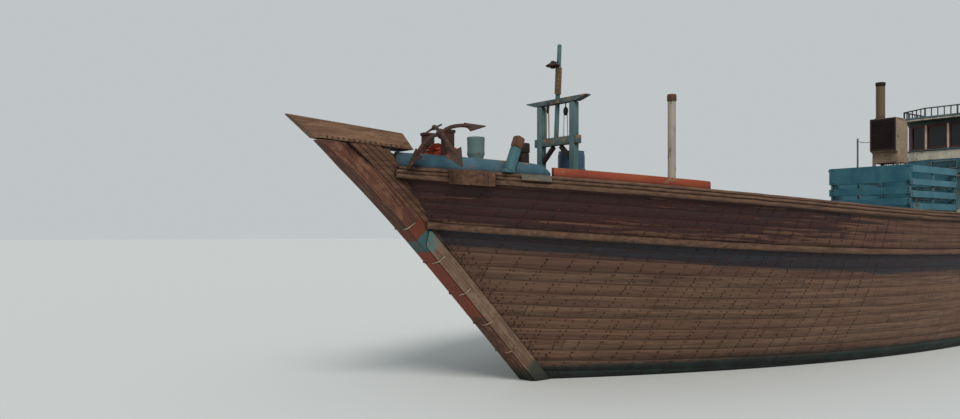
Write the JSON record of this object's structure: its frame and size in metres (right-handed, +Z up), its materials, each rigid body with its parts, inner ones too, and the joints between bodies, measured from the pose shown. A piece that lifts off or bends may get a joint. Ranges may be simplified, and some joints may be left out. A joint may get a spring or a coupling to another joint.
{
  "type": "wooden cargo dhow",
  "caption": "Wooden motor cargo dhow with a long raked stem, two rub rails a side, hatch, slatted pen, deckhouse and wheelhouse, turning rudder, screw and windlass.",
  "frame": {"origin": "amidships on the centreline, at the waterline", "axes": "+X forward to the bow, +Y to port, +Z up"},
  "size_m": [32.3119, 7.9428, 9.7168],
  "materials": {
    "hull_timber": "weathered planking with worn maroon and teal paint",
    "pale_timber": "bare weathered timber",
    "stem_timber": "reddish oiled timber, worn",
    "deck_timber": "bare planks",
    "pale_blue_paint": "chalky pale blue paint",
    "teal_paint": "worn teal paint",
    "maroon_paint": "worn dark red paint",
    "cream_paint": "stained cream paint",
    "roof_paint": "dark grey-green paint",
    "rusty_iron": "rusted iron",
    "steel": "sooty steel",
    "bronze": "cast bronze",
    "blue_plastic": "faded blue"
  },
  "bodies": {
    "hull": {"hull": "hull_timber", "keel": "hull_timber", "stem": "stem_timber", "stem_knee": "stem_timber", "stemhead_cap": "pale_timber", "sternpost": "stem_timber", "foredeck": "deck_timber", "main_deck": "deck_timber", "poop_deck": "deck_timber", "stem_cheek_port": "pale_timber", "stem_cheek_starboard": "pale_timber", "upper_rub_rail_port": "pale_timber", "upper_rub_rail_starboard": "pale_timber", "mid_rub_rail_port": "pale_timber", "mid_rub_rail_starboard": "pale_timber", "cap_rail_port": "pale_timber", "cap_rail_starboard": "pale_timber", "wash_strake_port": "pale_blue_paint", "wash_strake_starboard": "pale_blue_paint", "rail_bitt_port": "teal_paint", "rail_bitt_starboard": "teal_paint", "deck_bitt_port": "stem_timber", "deck_bitt_starboard": "stem_timber", "windlass_bitts": "rusty_iron", "bow_bollard": "pale_blue_paint", "anchor": "rusty_iron", "gallows": "teal_paint", "water_drum": "blue_plastic", "hatch_coaming": "hull_timber", "hatch_covers": "deck_timber", "king_post": "teal_paint", "slatted_pen": "teal_paint", "engine_casing": "teal_paint", "exhaust_housing": "maroon_paint", "exhaust_stack": "steel", "deckhouse": "teal_paint", "boat_deck": "deck_timber", "wheelhouse": "cream_paint", "wheelhouse_roof": "roof_paint", "roof_railing": "roof_paint", "boat_deck_railing": "teal_paint", "helm_pedestal": "stem_timber"},
    "rudder": {"rudder": "stem_timber"},
    "propeller": {"propeller": "bronze"},
    "windlass_barrel": {"windlass_barrel": "rusty_iron"},
    "helm_wheel": {"helm_wheel": "stem_timber"},
    "deckhouse_door_port": {"deckhouse_door_port": "maroon_paint"},
    "deckhouse_door_starboard": {"deckhouse_door_starboard": "maroon_paint"},
    "wheelhouse_door_port": {"wheelhouse_door_port": "maroon_paint"},
    "wheelhouse_door_starboard": {"wheelhouse_door_starboard": "maroon_paint"}
  },
  "joints": [
    {"name": "rudder_turn", "type": "hinge", "parent": "hull", "child": "rudder", "pos_m": [-15.211, 0, 0], "axis": [-0.2696, 0, 0.963], "range_deg": [-35, 35]},
    {"name": "helm_turn", "type": "hinge", "parent": "hull", "child": "helm_wheel", "pos_m": [-10.5, 0, 6.05], "axis": [1, 0, 0], "range_deg": [-430, 430]},
    {"name": "propeller_spin", "type": "hinge", "parent": "hull", "child": "propeller", "pos_m": [-14.2, 0, -0.86], "axis": [1, 0, 0], "continuous": true},
    {"name": "windlass_spin", "type": "hinge", "parent": "hull", "child": "windlass_barrel", "pos_m": [12.95, 0, 4.42], "axis": [0, 1, 0], "continuous": true},
    {"name": "deckhouse_door_port_swing", "type": "hinge", "parent": "hull", "child": "deckhouse_door_port", "pos_m": [-10.308, 2.4, 3.9], "axis": [0, 0, -1], "range_deg": [0, 100]},
    {"name": "deckhouse_door_starboard_swing", "type": "hinge", "parent": "hull", "child": "deckhouse_door_starboard", "pos_m": [-10.308, -2.4, 3.9], "axis": [0, 0, 1], "range_deg": [0, 100]},
    {"name": "wheelhouse_door_port_swing", "type": "hinge", "parent": "hull", "child": "wheelhouse_door_port", "pos_m": [-11.958, 1.95, 6], "axis": [0, 0, -1], "range_deg": [0, 100]},
    {"name": "wheelhouse_door_starboard_swing", "type": "hinge", "parent": "hull", "child": "wheelhouse_door_starboard", "pos_m": [-11.958, -1.95, 6], "axis": [0, 0, 1], "range_deg": [0, 100]}
  ],
  "couplings": [
    {"joint": "helm_turn", "follows": "rudder_turn", "ratio": 12}
  ]
}
